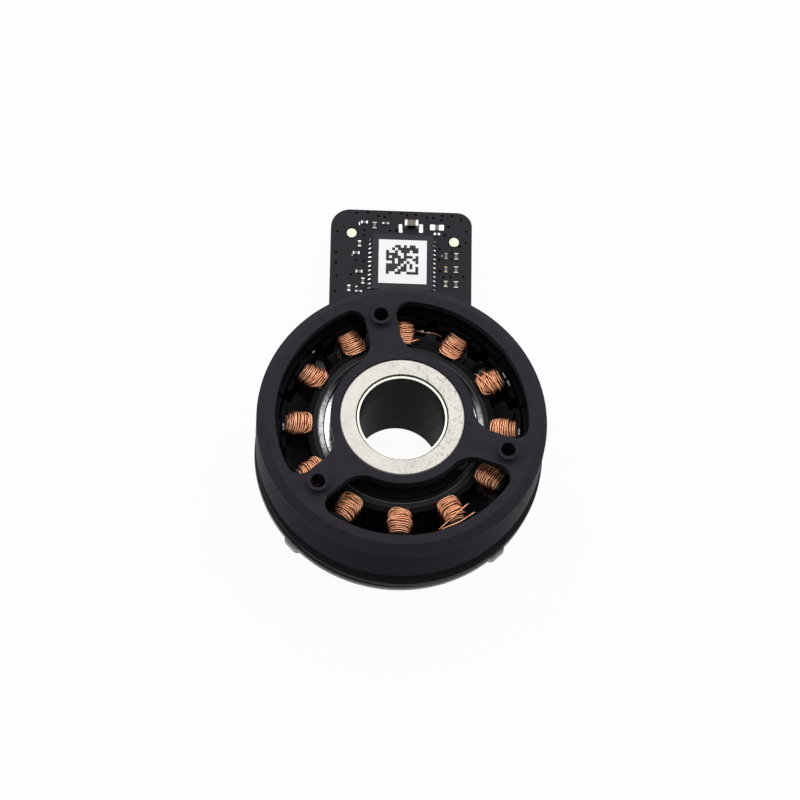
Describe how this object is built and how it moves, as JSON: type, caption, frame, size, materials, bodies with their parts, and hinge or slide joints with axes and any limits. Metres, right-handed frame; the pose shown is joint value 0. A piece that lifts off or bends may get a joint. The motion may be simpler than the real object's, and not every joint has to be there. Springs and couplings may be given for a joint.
{
  "type": "gimbal motor",
  "caption": "Hollow shaft gimbal motor: a black spoked bell over copper coils, a bright flange round the bore, and a black driver board with a tab under it.",
  "frame": {"origin": "on the shaft's axis in the plane of the base plate's underside", "axes": "+Z along the shaft towards the bell's face, +Y towards the end of the board's tab"},
  "size_m": [0.0316, 0.045, 0.015],
  "materials": {
    "anodised_black": "matt black anodised",
    "bright_steel": "fine blasted, bright",
    "bearing_steel": "ground",
    "shield_steel": "bright",
    "flux_steel": "plain",
    "magnet_nickel": "nickel plated",
    "lamination": "plain",
    "black_plastic": "matt",
    "cage_brass": "plain",
    "copper_enamel": "enamelled copper wire",
    "base_aluminium": "fine blasted",
    "board_black": "black solder mask",
    "chip_black": "moulded",
    "solder": "bright tin",
    "label_white": "matt film",
    "ceramic_parts": "ceramic",
    "tube_black": "black anodised"
  },
  "bodies": {
    "stator": {"base_plate": "base_aluminium", "bearing_housing": "anodised_black", "lower_outer_race": "bearing_steel", "upper_outer_race": "bearing_steel", "lower_shields": "shield_steel", "upper_shields": "shield_steel", "outer_spacer": "bearing_steel", "stator_core": "lamination", "upper_insulator": "black_plastic", "lower_insulator": "black_plastic", "coil_1": "copper_enamel", "coil_2": "copper_enamel", "coil_3": "copper_enamel", "coil_4": "copper_enamel", "coil_5": "copper_enamel", "coil_6": "copper_enamel", "coil_7": "copper_enamel", "coil_8": "copper_enamel", "coil_9": "copper_enamel", "coil_10": "copper_enamel", "coil_11": "copper_enamel", "coil_12": "copper_enamel", "phase_leads": "copper_enamel", "circuit_board": "board_black", "driver_chip": "chip_black", "chip_pads": "solder", "chip_label": "label_white", "supply_capacitor": "ceramic_parts", "small_passives": "ceramic_parts", "position_sensor": "chip_black"},
    "rotor": {"rotor_bell": "anodised_black", "flux_ring": "flux_steel", "magnet_1": "magnet_nickel", "magnet_2": "magnet_nickel", "magnet_3": "magnet_nickel", "magnet_4": "magnet_nickel", "magnet_5": "magnet_nickel", "magnet_6": "magnet_nickel", "magnet_7": "magnet_nickel", "magnet_8": "magnet_nickel", "magnet_9": "magnet_nickel", "magnet_10": "magnet_nickel", "magnet_11": "magnet_nickel", "magnet_12": "magnet_nickel", "magnet_13": "magnet_nickel", "magnet_14": "magnet_nickel", "hollow_shaft": "bright_steel", "cable_tube": "tube_black", "retaining_ring": "bearing_steel", "lower_inner_race": "bearing_steel", "upper_inner_race": "bearing_steel", "inner_spacer": "bearing_steel"},
    "upper_cage_set": {"upper_cage": "cage_brass", "upper_balls": "bearing_steel"},
    "lower_cage_set": {"lower_cage": "cage_brass", "lower_balls": "bearing_steel"}
  },
  "joints": [
    {"name": "rotor_spin", "type": "hinge", "parent": "stator", "child": "rotor", "pos_m": [0, 0, 0.0064], "axis": [0, 0, 1], "continuous": true},
    {"name": "upper_cage_spin", "type": "hinge", "parent": "stator", "child": "upper_cage_set", "pos_m": [0, 0, 0.0064], "axis": [0, 0, 1], "continuous": true},
    {"name": "lower_cage_spin", "type": "hinge", "parent": "stator", "child": "lower_cage_set", "pos_m": [0, 0, 0.0022], "axis": [0, 0, 1], "continuous": true}
  ],
  "couplings": [
    {"joint": "upper_cage_spin", "follows": "rotor_spin", "ratio": 0.4467},
    {"joint": "lower_cage_spin", "follows": "rotor_spin", "ratio": 0.4467}
  ]
}
